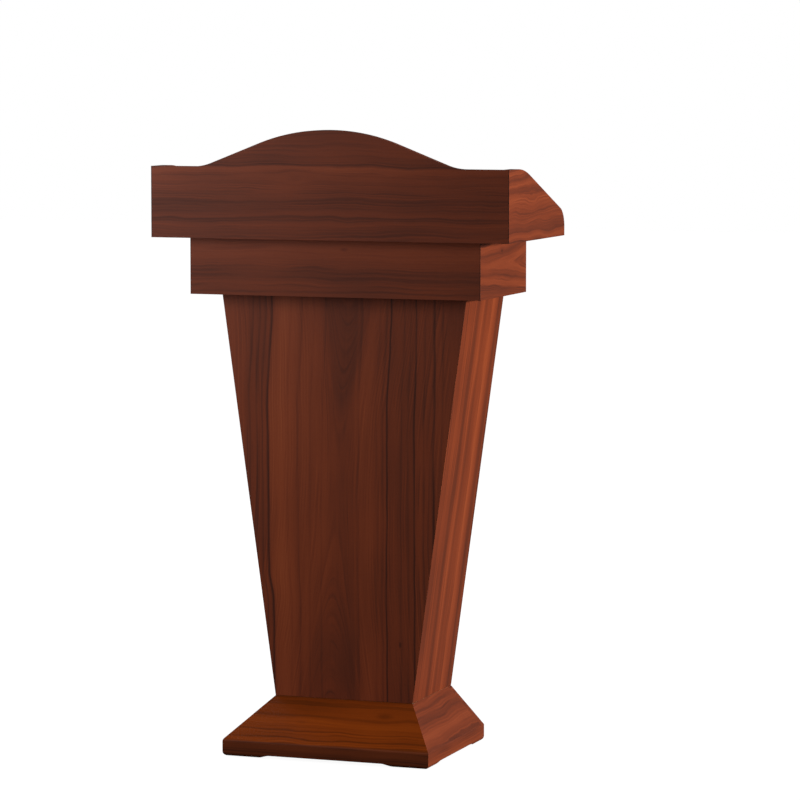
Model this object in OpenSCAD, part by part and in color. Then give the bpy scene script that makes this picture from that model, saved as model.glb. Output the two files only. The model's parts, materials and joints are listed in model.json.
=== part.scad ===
// Wooden pulpit: a crowned reading desk on a drawer tier, a tapered open-backed body and a flared base.
// Millimetres. +Z is up, the audience side faces -Y, and the speaker stands at +Y.
// The origin is under the middle of the whole object, on the floor.

/* [Overall] */
// Width over the desk tier
overall_w = 660; // [600:5:720]
// Depth from the front of the base to the speaker's edge of the desk
overall_d = 330; // [300:5:360]
// Thickness of the panels
board = 15; // [12:1:18]

/* [Base] */
// Width of the plinth
plinth_w = 384; // [360:2:420]
// Depth of the plinth
plinth_d = 300; // [290:5:310]
// Height of the plinth's upright band
plinth_top = 30; // [26:1:36]
// Height of the whole base, to the foot of the body
base_h = 97; // [90:1:110]
// Length of each corner foot that the relief cut leaves at the front and back
foot_len = 64; // [50:1:90]
// Length of each corner foot at the sides
side_foot_len = 44; // [40:1:90]
// Height of the relief cut between the feet
foot_rise = 5; // [3:0.5:8]
// Radius of the plinth's rounded edges
plinth_edge_r = 8; // [2:0.5:10]
// Height of the nylon glides under the plinth
glide_h = 1; // [1:0.5:3]

/* [Body] */
// Width of the body at its foot
body_foot_w = 258; // [240:2:280]
// Width of the body under the drawer tier
body_top_w = 456; // [440:2:470]
// Depth of the body
body_d = 205; // [195:5:220]
// Height of the top of the body
body_top = 810; // [790:5:830]
// Height of the underside of the lower shelf
lower_shelf_z = 338; // [300:1:380]
// Height of the underside of the upper shelf
upper_shelf_z = 574; // [540:1:620]

/* [Drawer tier] */
// Width of the drawer tier
tier_w = 538; // [520:2:560]
// Depth of the drawer tier
tier_d = 252; // [245:1:260]
// Height of the drawer tier
tier_h = 100; // [95:1:110]
// Travel of the drawer
drawer_travel = 170; // [100:5:180]

/* [Desk tier] */
// Depth of the cheeks
cheek_d = 312; // [305:1:318]
// Height of the desk tier at its shoulders
desk_h = 125; // [122:1:135]
// Rise of the crown above the shoulders
crown_rise = 65; // [50:1:80]
// Slope of the reading desk, in degrees
desk_tilt = 20; // [15:0.5:20.5]
// Distance of the knee of the cheeks from the front face
knee_d = 81; // [70:0.5:90]
// Radius of the rounded nose of the cheeks
nose_r = 36; // [25:1:40]
// Depth of the desk below the edges of the cheeks
desk_recess = 12; // [8:1:15]

/* [Hidden] */

$fn = 48;
// Drawing tolerance that lets a cut run past the face it starts from
over = 1;
// Radial clearance of a screw, pin or dowel in its bore, and the extra length of the bore at each end
bore_gap = 0.05;
bore_end = 0.5;

// Colours
walnut = [0.36, 0.17, 0.11];
plain_wood = [0.72, 0.56, 0.38];
drawer_wood = [0.62, 0.42, 0.27];
steel = [0.70, 0.71, 0.73];
brass = [0.72, 0.58, 0.33];
nylon = [0.14, 0.13, 0.13];

// Largest gap between an arc and the straight pieces that draw it
arc_sag = 0.02;

// Screws: the wood screws, and the smaller ones that hold the metal fittings
screw_r = 2;
screw_head_r = 4;
screw_head_h = 2.2;
small_screw_r = 1.75;
small_screw_len = 11;
small_head_r = 3.4;
small_head_h = 1.6;
// Wood left ahead of the tip of a screw
tip_cover = 3;
// Cross recess of a screw head: its reach as a share of the head, and its width and depth
recess_share = 0.6;
recess_w = 1;
recess_depth = 1;

// Main planes
front_y = -overall_d / 2;
back_y = front_y + plinth_d;
nose_y = overall_d / 2;
base_half = plinth_w / 2;
body_front_y = back_y - body_d;
tier_front_y = back_y - tier_d;
tier_half = tier_w / 2;
tier_z = body_top;
desk_z = tier_z + tier_h;
shoulder_z = desk_z + desk_h;
desk_front_y = nose_y - cheek_d;
desk_half = overall_w / 2;

// Body taper
foot_half = body_foot_w / 2;
top_half = body_top_w / 2;
taper = atan((top_half - foot_half) / (body_top - base_h));
function outer_half(z) = foot_half + (z - base_h) * tan(taper);
function inner_half(z) = outer_half(z) - board / cos(taper);

// Base
bevel_drop = 16;
spacer_t = 18;
spacer_x = 80;
glide_r = 11;
glide_inset = 17;
nail_r = 1.2;
nail_cover = 1;
block_leg = 52;
relief_run = 24;
relief_steps = 10;
spacer_setback = 20;
base_screw_x = 60;
base_screw_inset = 35;
base_screw_ys = [body_front_y + base_screw_inset, back_y - base_screw_inset];

// Shelves and their fittings
shelf_back_gap = 10;
cleat = 20;
cam_r = 7.5;
cam_h = 12;
cam_reach = 24;
cam_slot_l = 8;
cam_slot_w = 1.4;
cam_slot_depth = 2.5;
bolt_r = 3;
bolt_bore_r = 3.5;
bolt_depth = 10;
dowel_r = 4;
dowel_in_side = 9;
dowel_in_shelf = 20;
fitting_boards = [base_h, lower_shelf_z, upper_shelf_z];
shelf_mid_y = (body_front_y + board + back_y - shelf_back_gap) / 2;
cam_spread = 60;
cam_ys = [shelf_mid_y - cam_spread, shelf_mid_y + cam_spread];
cleat_screw_x = inner_half(body_top - cleat / 2) - cleat / 2;

// Runners: a three-part ball-bearing pair in the 12.7 mm between the carcass and the drawer
runner_w = 12.7;
runner_h = 35;
runner_sheet = 1.2;
// Length of the runner that stays engaged when the drawer is fully open
runner_overlap = 20;
runner_len = drawer_travel + runner_overlap;
runner_setback = 4;
runner_front_y = back_y - board - runner_setback - runner_len;
runner_up = 55;
runner_z = tier_z + runner_up;
runner_screw_inset = 35;
runner_screw_ys = [runner_front_y + runner_screw_inset, runner_front_y + runner_len - runner_screw_inset];
tier_inner = tier_half - board;
// Depths from the carcass and heights of the runner's middle and inner parts
middle_web = 3.4;
middle_tip = 11;
middle_shrink = 3;
inner_tip = 5.6;
inner_shrink = 6.4;
outer_tip = 9.6;

// Drawer
drawer_half = tier_inner - runner_w;
drawer_side_t = 12;
drawer_side_h = 58;
drawer_up = 11;
drawer_z = tier_z + board + drawer_up;
drawer_len = 195;
drawer_front_gap = 2;
drawer_front_y = back_y - board;
drawer_back_y = drawer_front_y - drawer_len;
drawer_bottom_t = 5;
drawer_bottom_up = 9;
groove_d = 6;
groove_gap = 0.2;
drawer_front_mid_z = (tier_z + board + desk_z) / 2;

// Knob: a foot, a hollow waist and a head with a rounded rim. Its curves have centres [radius, height]
knob_len = 24.5;
knob_foot_r = 9;
knob_foot_h = 1.5;
knob_waist = [14, 9];
knob_waist_r = 8.6;
knob_rim = [10, 20.4];
knob_rim_r = 3.6;
knob_head_up = 16;
knob_bore_len = 12;
knob_bore_spare = 1;
knob_waist_sweep = 40;
knob_rim_sweep = 75;

// Brackets
bracket_leg = 20;
bracket_w = 40;
bracket_t = 2;
bracket_front_gap = 35;
bracket_back_gap = 75;
bracket_ys = [tier_front_y + board + bracket_front_gap, back_y - bracket_back_gap];
bracket_screw_out = 12;
bracket_screw_shift = 10;
bracket_screw_len = bracket_t + small_screw_len;

// Desk: the cheeks' outline and the sloping board set into it
knee_blend_r = 190;
crown_r = 350;
crown_foot_r = 96;
crown_slope = 21.3;
knee = [desk_front_y + knee_d, shoulder_z];
bisector = tan(desk_tilt / 2);
desk_top_knee = knee + desk_recess * [-bisector, -1];
desk_under_knee = desk_top_knee + board * [-bisector, -1];
desk_len = 225;
rail_over = 20;
cleat_clearance = 2;
function on_desk(s, n) =
    desk_top_knee + s * [cos(desk_tilt), -sin(desk_tilt)] + n * [sin(desk_tilt), cos(desk_tilt)];
rail_foot = on_desk(desk_len, -board);

// ---- Shared shapes ----

// Points of an arc, from angle a0 to a1, in as many steps as arc_sag needs
function arc(c, r, a0, a1) =
    let (n = ceil(abs(a1 - a0) / (2 * acos(1 - arc_sag / r))))
    [for (i = [0:n]) let (a = a0 + (a1 - a0) * i / n) c + r * [cos(a), sin(a)]];

function reversed(list) = [for (i = [len(list) - 1:-1:0]) list[i]];

// Extrudes an outline drawn in Y and Z along X
module along_x(x0, x1) {
    translate([x0, 0, 0]) rotate([90, 0, 90]) linear_extrude(height = x1 - x0) children();
}

// Extrudes an outline drawn in X and Z along Y
module along_y(y0, y1) {
    translate([0, y1, 0]) rotate([90, 0, 0]) linear_extrude(height = y1 - y0) children();
}

module along_z(z0, z1) {
    translate([0, 0, z0]) linear_extrude(height = z1 - z0) children();
}

// A box between two corners
module box(low, high) {
    translate(low) cube(high - low);
}

// Cylinders that start at a point and run along one axis; a negative length runs the other way
module rod_x(p, r, l) {
    translate(l < 0 ? p + [l, 0, 0] : p) rotate([0, 90, 0]) cylinder(r = r, h = abs(l));
}

module rod_y(p, r, l) {
    translate(l < 0 ? p : p + [0, l, 0]) rotate([90, 0, 0]) cylinder(r = r, h = abs(l));
}

module rod_z(p, r, l) {
    translate(l < 0 ? p + [0, 0, l] : p) cylinder(r = r, h = abs(l));
}

// The shank of a screw, or with a gap the bore that it sits in
module shank_x(p, r, l, gap) {
    room = gap > 0 ? sign(l) * bore_end : 0;
    rod_x(p - [room, 0, 0], r + gap, l + 2 * room);
}

module shank_z(p, r, l, gap) {
    room = gap > 0 ? sign(l) * bore_end : 0;
    rod_z(p - [0, 0, room], r + gap, l + 2 * room);
}

// Puts children, drawn along +Z from the origin, at a point so that they run along X or Z; dir is 1 or -1
module facing_x(p, dir) {
    translate(p) rotate([0, 90 * dir, 0]) children();
}

module facing_z(p, dir) {
    translate(p) rotate([90 - 90 * dir, 0, 0]) children();
}

// A screw head with a cross recess, drawn upwards from the face that it bears on
module screw_head(r, h) {
    difference() {
        cylinder(r = r, h = h);
        cross_slot(2 * recess_share * r, recess_w, h - recess_depth, h + over);
    }
}

// Two crossed slots of one length and width, between two heights
module cross_slot(l, w, z0, z1) {
    for (turn = [0, 90]) rotate([0, 0, turn]) box([-l / 2, -w / 2, z0], [l / 2, w / 2, z1]);
}

// side is 1 for the right and -1 for the left, which is the mirror image
module on_side(side) {
    if (side > 0) children();
    else mirror([1, 0, 0]) children();
}

// Plans of a three-sided surround whose two front corners are mitred
module mitred_front_plan(half, y) {
    polygon([[-half, y], [half, y], [half - board, y + board], [board - half, y + board]]);
}

module mitred_side_plan(half, y, back) {
    polygon([[half, y], [half, back], [half - board, back], [half - board, y + board]]);
}

// ---- Base ----

// One end of the relief cut: an S curve from the floor line up to the cut's flat top
function relief_end(x, dir) = [for (i = [0:relief_steps])
    let (u = i / relief_steps) [x + dir * relief_run * u, glide_h + foot_rise * (3 - 2 * u) * u * u]];

module relief(low, high) {
    polygon(concat(
        [[low, glide_h - over]], relief_end(low, 1),
        reversed(relief_end(high, -1)), [[high, glide_h - over]]
    ));
}

// The rounding where the plinth's face turns, by an angle, into the slope above it: drawn from the
// outer edge at [0, plinth_top], with +X inwards, between two heights given as angles of the arc
function edge_drop(turn) = plinth_edge_r * tan(turn / 2);
function edge_split(turn) = asin(edge_drop(turn) / plinth_edge_r);
function edge_arc(turn, a0, a1) = [for (p = arc([0, plinth_top - edge_drop(turn)], plinth_edge_r, a0, a1))
    [plinth_edge_r - p[0], p[1]]];
function slope_turn(run) = atan(run / (base_h - plinth_top));

// Section of a plinth rail, its outer face at 0 and its inside towards +X
module rail_section(turn) {
    polygon(concat(
        [[board, glide_h]],
        [for (p = arc([0, glide_h + plinth_edge_r], plinth_edge_r, -90, 0)) [plinth_edge_r - p[0], p[1]]],
        turn > 0 ? edge_arc(turn, 0, edge_split(turn)) : [[0, plinth_top]],
        [[board, plinth_top]]
    ));
}

module plinth_cross_rail(y, outward, turn) {
    inner = y - outward * board;
    color(walnut) difference() {
        intersection() {
            along_z(glide_h, plinth_top) polygon([
                [-base_half, y], [base_half, y],
                [base_half - board, inner], [board - base_half, inner],
            ]);
            along_x(-base_half, base_half) translate([y, 0]) scale([-outward, 1])
                rail_section(turn);
        }
        along_y(min(y, inner) - over, max(y, inner) + over)
            relief(foot_len - base_half, base_half - foot_len);
    }
}

module plinth_side_rail(side) {
    color(walnut) on_side(side) difference() {
        intersection() {
            along_z(glide_h, plinth_top) polygon([
                [base_half, front_y], [base_half, back_y],
                [base_half - board, back_y - board], [base_half - board, front_y + board],
            ]);
            along_y(front_y, back_y) translate([base_half, 0]) mirror([1, 0])
                rail_section(slope_turn(base_half - foot_half));
        }
        along_x(base_half - board - over, base_half + over)
            relief(front_y + side_foot_len, back_y - side_foot_len);
    }
}

module base_bottom_panel() {
    color(plain_wood) box(
        [board - base_half, front_y + board, plinth_top - board],
        [base_half - board, back_y - board, plinth_top]
    );
}

module base_spacer(side) {
    color(plain_wood) on_side(side) box(
        [spacer_x, body_front_y + spacer_setback, plinth_top],
        [spacer_x + spacer_t, back_y - board, base_h - board]
    );
}

module base_top_panel() {
    color(plain_wood) difference() {
        box([-foot_half, body_front_y, base_h - board], [foot_half, back_y - board, base_h]);
        base_screw_shanks(bore_gap);
    }
}

// Section of a sloping board, from the plinth's edge at 0 to the foot of the body, a run further in
module bevel_section(run) {
    turn = slope_turn(run);
    polygon(concat(
        edge_arc(turn, edge_split(turn), turn),
        [[run, base_h], [run, base_h - bevel_drop], [run * bevel_drop / (base_h - plinth_top), plinth_top]]
    ));
}

module bevel_front() {
    color(walnut) intersection() {
        along_x(-base_half, base_half) translate([front_y, 0]) bevel_section(body_front_y - front_y);
        along_z(0, base_h + over) polygon([
            [-base_half, front_y], [base_half, front_y],
            [foot_half, body_front_y], [-foot_half, body_front_y],
        ]);
    }
}

module bevel_side(side) {
    color(walnut) on_side(side) intersection() {
        along_y(front_y, back_y - board) translate([base_half, 0]) mirror([1, 0])
            bevel_section(base_half - foot_half);
        along_z(0, base_h + over) polygon([
            [base_half, front_y], [base_half, back_y - board],
            [foot_half, back_y - board], [foot_half, body_front_y],
        ]);
    }
}

module base_back_panel() {
    color(walnut) along_y(back_y - board, back_y) polygon([
        [-base_half, plinth_top], [base_half, plinth_top], [foot_half, base_h], [-foot_half, base_h],
    ]);
}

// Places its children at the four inner corners of the plinth, turned to face the middle
module at_corners() {
    for (sx = [0, 1], sy = [0, 1])
        translate([0, (front_y + back_y) / 2, 0]) mirror([sx, 0, 0]) mirror([0, sy, 0])
            translate([base_half - board, plinth_d / 2 - board, 0]) children();
}

module corner_blocks() {
    color(plain_wood) at_corners() difference() {
        along_z(glide_h, plinth_top - board) polygon([[0, 0], [-block_leg, 0], [0, -block_leg]]);
        glide_nail(bore_gap);
    }
}

// The nail of a glide, which stops short of the base's bottom panel
module glide_nail(gap) {
    shank_z([-glide_inset, -glide_inset, glide_h], nail_r, plinth_top - board - glide_h - nail_cover, gap);
}

module foot_glides() {
    color(nylon) at_corners() {
        translate([-glide_inset, -glide_inset, 0]) cylinder(r = glide_r, h = glide_h);
        glide_nail(0);
    }
}

module base_screw_shanks(gap) {
    for (x = [-base_screw_x, base_screw_x], y = base_screw_ys)
        shank_z([x, y, base_h - board], screw_r, 2 * board - tip_cover, gap);
}

module base_screws() {
    color(steel) {
        base_screw_shanks(0);
        for (x = [-base_screw_x, base_screw_x], y = base_screw_ys)
            facing_z([x, y, base_h - board], -1) screw_head(screw_head_r, screw_head_h);
    }
}

// ---- Body ----

// Puts children, drawn with Z along the slanted front corner and X across the side's thickness, in place
module slanted(side) {
    on_side(side) translate([foot_half, body_front_y, base_h]) rotate([0, taper, 0]) children();
}

module between_levels(z0, z1) {
    intersection() {
        children();
        box([-overall_w, -overall_d, z0], [overall_w, overall_d, z1]);
    }
}

slant_len = (body_top - base_h) / cos(taper) + 2 * board;

// Everything in the front panel's thickness that lies inside one slanted and mitred edge
module front_panel_edge(side) {
    slanted(side) along_z(-overall_w / 2, slant_len)
        polygon([[0, 0], [-board, board], [-overall_w, board], [-overall_w, 0]]);
}

module body_front_panel() {
    color(walnut) between_levels(base_h, body_top) intersection() {
        front_panel_edge(1);
        front_panel_edge(-1);
    }
}

module body_side_panel(side) {
    color(walnut) difference() {
        between_levels(base_h, body_top) slanted(side) along_z(-board, slant_len)
            polygon([[0, 0], [0, body_d], [-board, body_d], [-board, board]]);
        on_side(side) for (z = fitting_boards) fitting_bores(z);
    }
}

// A board across the body, with its ends cut to the slope of the sides
module cross_board(z, back) {
    along_y(body_front_y + board, back) polygon([
        [-inner_half(z), z], [inner_half(z), z],
        [inner_half(z + board), z + board], [-inner_half(z + board), z + board],
    ]);
}

module fitted_board(z, back) {
    color(walnut) difference() {
        cross_board(z, back);
        for (side = [1, -1]) on_side(side) {
            fitting_bores(z);
            for (y = cam_ys)
                shank_z([inner_half(z) - cam_reach, y, z], cam_r, cam_h, bore_gap);
        }
    }
}

// Bores of the bolts and the dowel in one end of a board and in the right-hand side panel
module fitting_bores(z) {
    mid_z = z + board / 2;
    wall = inner_half(mid_z);
    for (y = cam_ys)
        rod_x([wall + bolt_depth + bore_gap, y, mid_z], bolt_bore_r, -bolt_depth - cam_reach);
    dowel_len = dowel_in_side + dowel_in_shelf;
    rod_x([wall + dowel_in_side, shelf_mid_y, mid_z], dowel_r + bore_gap, -dowel_len);
}

module body_floor() {
    difference() {
        fitted_board(base_h, back_y);
        base_screw_shanks(bore_gap);
    }
}

module shelf(z) {
    fitted_board(z, back_y - shelf_back_gap);
}

module body_cleat(side) {
    head = inner_half(body_top);
    foot = inner_half(body_top - cleat);
    color(plain_wood) difference() {
        on_side(side) along_y(body_front_y + board, back_y - shelf_back_gap) polygon([
            [head, body_top], [foot, body_top - cleat],
            [foot - cleat, body_top - cleat], [head - cleat, body_top],
        ]);
        cleat_screw_shanks(bore_gap);
    }
}

// Screws up through the cleats into the bottom of the drawer tier
module cleat_screw_shanks(gap) {
    for (side = [1, -1], y = cam_ys)
        on_side(side)
            shank_z([cleat_screw_x, y, body_top - cleat], screw_r, cleat + board - tip_cover, gap);
}

module body_cleat_screws() {
    color(steel) {
        cleat_screw_shanks(0);
        for (side = [1, -1], y = cam_ys)
            on_side(side) facing_z([cleat_screw_x, y, body_top - cleat], -1)
                screw_head(screw_head_r, screw_head_h);
    }
}

module shelf_cams() {
    color(steel) for (z = fitting_boards, side = [1, -1], y = cam_ys)
        on_side(side) translate([inner_half(z) - cam_reach, y, z]) difference() {
            cylinder(r = cam_r, h = cam_h);
            cross_slot(cam_slot_l, cam_slot_w, -over, cam_slot_depth);
        }
}

module shelf_cam_bolts() {
    color(steel) for (z = fitting_boards, side = [1, -1], y = cam_ys) {
        wall = inner_half(z + board / 2);
        head_x = inner_half(z) - cam_reach + cam_r;
        len = wall + bolt_depth - head_x - bore_gap;
        on_side(side) rod_x([head_x + bore_gap, y, z + board / 2], bolt_r, len);
    }
}

module shelf_dowels() {
    color(plain_wood) for (z = fitting_boards, side = [1, -1])
        on_side(side) rod_x(
            [inner_half(z + board / 2) - dowel_in_shelf + over, shelf_mid_y, z + board / 2],
            dowel_r, dowel_in_shelf + dowel_in_side - 2 * over
        );
}

// ---- Drawer tier ----

module tier_front_panel() {
    color(walnut) along_z(tier_z, desk_z) mitred_front_plan(tier_half, tier_front_y);
}

module tier_side_panel(side) {
    color(walnut) on_side(side) difference() {
        along_z(tier_z, desk_z) mitred_side_plan(tier_half, tier_front_y, back_y);
        runner_outer_shanks(bore_gap);
        bracket_side_shanks(bore_gap);
    }
}

module tier_bottom_panel() {
    color(walnut) difference() {
        box([-tier_inner, tier_front_y + board, tier_z], [tier_inner, back_y, tier_z + board]);
        cleat_screw_shanks(bore_gap);
    }
}

// A rolled steel channel: its web lies at depth u from the carcass, and its flanges reach to depth tip
module channel(u, tip, half_h) {
    web = u < tip ? u : u - runner_sheet;
    flange = min(u, tip);
    along_y(runner_front_y, runner_front_y + runner_len) {
        translate([tier_inner - web - runner_sheet, runner_z - half_h])
            square([runner_sheet, 2 * half_h]);
        far = max(u, tip);
        for (z = [-half_h, half_h - runner_sheet])
            translate([tier_inner - far, runner_z + z]) square([far - flange, runner_sheet]);
    }
}

module runner_outer(side) {
    color(steel) on_side(side) difference() {
        channel(0, outer_tip, runner_h / 2);
        runner_outer_shanks(bore_gap);
    }
}

module runner_middle(side) {
    color(steel) on_side(side) channel(middle_web, middle_tip, runner_h / 2 - middle_shrink);
}

module runner_inner(side) {
    color(steel) on_side(side) difference() {
        channel(runner_w, inner_tip, runner_h / 2 - inner_shrink);
        runner_inner_shanks(bore_gap);
    }
}

// Screw shanks into the right-hand carcass side and drawer side
module runner_outer_shanks(gap) {
    for (y = runner_screw_ys)
        shank_x([tier_inner - runner_sheet, y, runner_z], small_screw_r, small_screw_len, gap);
}

module runner_inner_shanks(gap) {
    for (y = runner_screw_ys)
        shank_x([drawer_half + runner_sheet, y, runner_z], small_screw_r, -small_screw_len, gap);
}

module runner_outer_screws() {
    color(steel) for (side = [1, -1]) on_side(side) {
        runner_outer_shanks(0);
        for (y = runner_screw_ys)
            facing_x([tier_inner - runner_sheet, y, runner_z], -1) screw_head(small_head_r, small_head_h);
    }
}

module runner_inner_screws() {
    color(steel) for (side = [1, -1]) on_side(side) {
        runner_inner_shanks(0);
        for (y = runner_screw_ys)
            facing_x([drawer_half + runner_sheet, y, runner_z], 1) screw_head(small_head_r, small_head_h);
    }
}

module drawer_front() {
    color(walnut) difference() {
        box(
            [drawer_front_gap - tier_inner, drawer_front_y, tier_z + board + drawer_front_gap],
            [tier_inner - drawer_front_gap, back_y, desk_z - drawer_front_gap]
        );
        drawer_groove();
        rod_y([0, drawer_front_y - over, drawer_front_mid_z], screw_r + bore_gap, board + 2 * over);
    }
}

// The slot that the drawer bottom lies in, cut round the inside of the box
module drawer_groove() {
    reach = groove_d + groove_gap;
    z = drawer_z + drawer_bottom_up;
    box(
        [drawer_side_t - drawer_half - reach, drawer_back_y - over, z - groove_gap],
        [drawer_half - drawer_side_t + reach, drawer_front_y + reach, z + drawer_bottom_t + groove_gap]
    );
}

module drawer_side(side) {
    color(drawer_wood) on_side(side) difference() {
        box(
            [drawer_half - drawer_side_t, drawer_back_y, drawer_z],
            [drawer_half, drawer_front_y, drawer_z + drawer_side_h]
        );
        drawer_groove();
        runner_inner_shanks(bore_gap);
    }
}

module drawer_back() {
    inner = drawer_half - drawer_side_t;
    color(drawer_wood) box(
        [-inner, drawer_back_y, drawer_z + drawer_bottom_up + drawer_bottom_t],
        [inner, drawer_back_y + drawer_side_t, drawer_z + drawer_side_h]
    );
}

module drawer_bottom() {
    reach = drawer_half - drawer_side_t + groove_d;
    color(drawer_wood) box(
        [-reach, drawer_back_y, drawer_z + drawer_bottom_up],
        [reach, drawer_front_y + groove_d, drawer_z + drawer_bottom_up + drawer_bottom_t]
    );
}

module drawer_knob() {
    color(brass) translate([0, back_y, drawer_front_mid_z]) rotate([-90, 0, 0]) difference() {
        rotate_extrude() polygon(concat(
            [[0, 0], [knob_foot_r, 0], [knob_foot_r, knob_foot_h]],
            arc(knob_waist, knob_waist_r, 180 + knob_waist_sweep, 180 - knob_waist_sweep),
            [[knob_rim[0] + knob_rim_r, knob_head_up]],
            arc(knob_rim, knob_rim_r, 0, knob_rim_sweep),
            [[0, knob_len]]
        ));
        rod_z([0, 0, -over], screw_r + bore_gap, knob_bore_len + over);
    }
}

module knob_screw() {
    color(steel) translate([0, drawer_front_y, drawer_front_mid_z]) {
        rod_y([0, 0, 0], screw_r, board + knob_bore_len - knob_bore_spare);
        rotate([90, 0, 0]) screw_head(screw_head_r, screw_head_h);
    }
}

// ---- Desk tier ----

// Outline of a cheek, in Y and Z: a flat shoulder, the slope and a rounded nose
module cheek_outline() {
    blend = knee_blend_r * bisector;
    foot_z = knee[1] - (nose_y - knee[0]) * tan(desk_tilt);
    nose_drop = nose_r * tan((90 - desk_tilt) / 2);
    polygon(concat(
        [[desk_front_y, desk_z], [nose_y, desk_z]],
        arc([nose_y - nose_r, foot_z - nose_drop], nose_r, 0, 90 - desk_tilt),
        arc([knee[0] - blend, shoulder_z - knee_blend_r], knee_blend_r, 90 - desk_tilt, 90),
        [[desk_front_y, shoulder_z]]
    ));
}

// Right half of the crown: a convex top, a straight flank and a concave foot
function crown_half_points() =
    let (
        top_z = shoulder_z + crown_rise,
        flank_x = crown_r * sin(crown_slope),
        arcs_drop = (crown_r + crown_foot_r) * (1 - cos(crown_slope)),
        foot_x = flank_x + (crown_rise - arcs_drop) / tan(crown_slope) + crown_foot_r * sin(crown_slope)
    )
    concat(
        arc([foot_x, shoulder_z + crown_foot_r], crown_foot_r, -90, -90 - crown_slope),
        arc([0, top_z - crown_r], crown_r, 90 - crown_slope, 90)
    );

module crown_outline() {
    half = crown_half_points();
    polygon(concat(
        [[-desk_half, desk_z], [desk_half, desk_z], [desk_half, shoulder_z]],
        half,
        [for (p = reversed(half)) if (p[0] > 0) [-p[0], p[1]]],
        [[-desk_half, shoulder_z]]
    ));
}

module desk_front_board() {
    color(walnut) intersection() {
        along_y(desk_front_y - over, desk_front_y + board) crown_outline();
        along_z(desk_z - over, shoulder_z + crown_rise + over) mitred_front_plan(desk_half, desk_front_y);
    }
}

module cheek(side) {
    color(walnut) on_side(side) intersection() {
        along_x(desk_half - board, desk_half) cheek_outline();
        along_z(desk_z - over, shoulder_z + over) mitred_side_plan(desk_half, desk_front_y, nose_y);
    }
}

module desk_bottom_panel() {
    color(walnut) difference() {
        box(
            [board - desk_half, desk_front_y + board, desk_z],
            [desk_half - board, rail_foot[0], desk_z + board]
        );
        for (side = [1, -1]) on_side(side) bracket_top_shanks(bore_gap);
    }
}

// The rail at the speaker's edge follows the cheeks' nose and stands above the desk as a book stop
module desk_back_rail() {
    color(walnut) along_x(board - desk_half, desk_half - board) intersection() {
        cheek_outline();
        polygon([
            [rail_foot[0], desk_z], rail_foot, on_desk(desk_len, desk_recess + rail_over),
            [nose_y + over, shoulder_z], [nose_y + over, desk_z],
        ]);
    }
}

module desk_panel() {
    color(walnut) along_x(board - desk_half, desk_half - board)
        polygon([desk_top_knee, on_desk(desk_len, 0), rail_foot, desk_under_knee]);
}

module desk_ledge() {
    color(walnut) along_x(board - desk_half, desk_half - board) polygon([
        [desk_front_y + board, desk_under_knee[1]], desk_under_knee,
        desk_top_knee, [desk_front_y + board, desk_top_knee[1]],
    ]);
}

module ledge_cleat() {
    y = desk_front_y + board;
    z = desk_under_knee[1];
    color(plain_wood) for (side = [1, -1]) on_side(side)
        box([board / 2, y, z - cleat], [desk_half - board - cleat, y + cleat, z]);
}

// The desk's side cleats stop where they would meet the bottom panel
module desk_cleat(side) {
    under = board + cleat;
    drop = desk_top_knee[1] - under * cos(desk_tilt) - desk_z - board;
    end = drop / sin(desk_tilt) - cleat_clearance;
    color(plain_wood) on_side(side) along_x(desk_half - board - cleat, desk_half - board) polygon([
        on_desk(board, -board), on_desk(end, -board), on_desk(end, -under), on_desk(board, -under),
    ]);
}

// The rib under the middle of the desk, clear of the slope's cleats
module desk_rib() {
    y = desk_front_y + board;
    floor_z = desk_z + board;
    color(plain_wood) along_x(-board / 2, board / 2) polygon([
        [y, floor_z], [rail_foot[0] - cleat, floor_z],
        [rail_foot[0] - cleat, rail_foot[1] + cleat * tan(desk_tilt)],
        desk_under_knee, [y, desk_under_knee[1]],
    ]);
}

// ---- Steel angle brackets that hang the drawer tier from the desk tier ----

function bracket_side_point(y) =
    [tier_inner - bracket_t, y + bracket_screw_shift, desk_z - bracket_screw_out];
function bracket_top_point(y) =
    [tier_inner - bracket_screw_out, y - bracket_screw_shift, desk_z - bracket_t];

module bracket_side_shanks(gap) {
    for (y = bracket_ys)
        shank_x(bracket_side_point(y), small_screw_r, bracket_screw_len, gap);
}

module bracket_top_shanks(gap) {
    for (y = bracket_ys)
        shank_z(bracket_top_point(y), small_screw_r, bracket_screw_len, gap);
}

module tier_brackets() {
    color(steel) for (side = [1, -1]) on_side(side) difference() {
        for (y = bracket_ys) along_y(y - bracket_w / 2, y + bracket_w / 2) polygon([
            [tier_inner, desk_z], [tier_inner, desk_z - bracket_leg],
            [tier_inner - bracket_t, desk_z - bracket_leg], [tier_inner - bracket_t, desk_z - bracket_t],
            [tier_inner - bracket_leg, desk_z - bracket_t], [tier_inner - bracket_leg, desk_z],
        ]);
        bracket_side_shanks(bore_gap);
        bracket_top_shanks(bore_gap);
    }
}

module tier_bracket_screws() {
    color(steel) for (side = [1, -1]) on_side(side) {
        bracket_side_shanks(0);
        bracket_top_shanks(0);
        for (y = bracket_ys) {
            facing_x(bracket_side_point(y), -1) screw_head(small_head_r, small_head_h);
            facing_z(bracket_top_point(y), -1) screw_head(small_head_r, small_head_h);
        }
    }
}

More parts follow.
